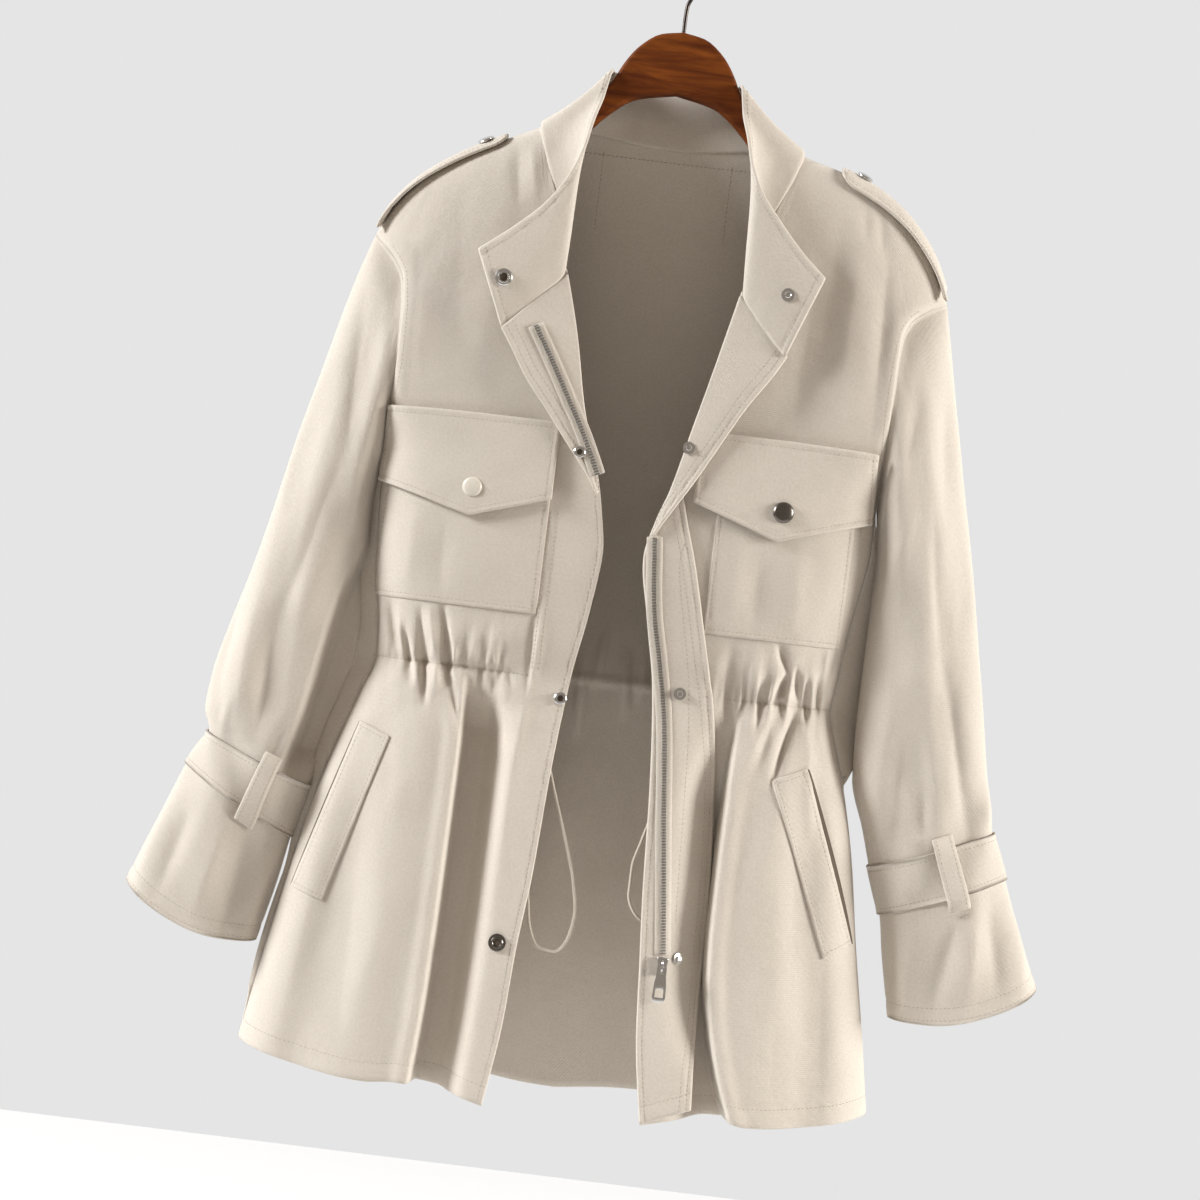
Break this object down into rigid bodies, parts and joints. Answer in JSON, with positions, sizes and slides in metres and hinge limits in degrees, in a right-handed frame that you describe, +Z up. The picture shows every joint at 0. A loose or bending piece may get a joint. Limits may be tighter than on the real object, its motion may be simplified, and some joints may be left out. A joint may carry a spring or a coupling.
{
  "type": "short trench coat on a hanger",
  "caption": "Hip-length trench-style field coat of cotton twill with a stand collar, flap pockets, gathered waist and strapped cuffs, hung open on a wooden hanger by its hook.",
  "frame": {"origin": "The point under the crown of the hanger's hook, where it rests on a rail.", "axes": "+Z is up, +X is the viewer's right when facing the front of the coat, and the front faces -Y."},
  "size_m": [0.674, 0.1261, 0.8601],
  "materials": {
    "twill": "matt beige cotton twill",
    "cord": "round braided drawcord",
    "snap_metal": "polished grey metal",
    "cap_plastic": "beige enamelled cap",
    "hanger_wood": "varnished dark red wood",
    "hook_wire": "dark wire"
  },
  "bodies": {
    "coat": {"back_panel": "twill", "front_left": "twill", "front_right": "twill", "turned_edge_left": "twill", "turned_edge_right": "twill", "placket_right": "twill", "sleeve_left": "twill", "sleeve_right": "twill", "cuff_strap_left": "twill", "cuff_strap_right": "twill", "strap_loop_left": "twill", "strap_loop_right": "twill", "epaulet_left": "twill", "epaulet_right": "twill", "chest_pocket_left": "twill", "chest_pocket_right": "twill", "pocket_flap_left": "twill", "pocket_flap_right": "twill", "hip_welt_left": "twill", "hip_welt_right": "twill", "collar": "twill", "snap_flap_right": "snap_metal", "snap_left_1": "snap_metal", "snap_left_2": "snap_metal", "snap_left_3": "snap_metal", "snap_left_4": "snap_metal", "snap_right_1": "snap_metal", "snap_right_2": "snap_metal", "snap_right_3": "snap_metal", "snap_right_4": "snap_metal", "snap_epaulet_left": "snap_metal", "snap_epaulet_right": "snap_metal", "zip_left": "snap_metal", "zip_right": "snap_metal", "zip_slider": "snap_metal", "snap_flap_left": "cap_plastic", "cord_left": "cord", "cord_right": "cord", "hanger_yoke": "hanger_wood", "hanger_hook": "hook_wire"},
    "pull_tab": {"zip_pull": "snap_metal"}
  },
  "joints": [
    {"name": "pull_tab_hinge", "type": "hinge", "parent": "coat", "child": "pull_tab", "pos_m": [0.0655, -0.06637, -0.743], "axis": [1, 0, 0], "range_deg": [-160, 4]}
  ]
}
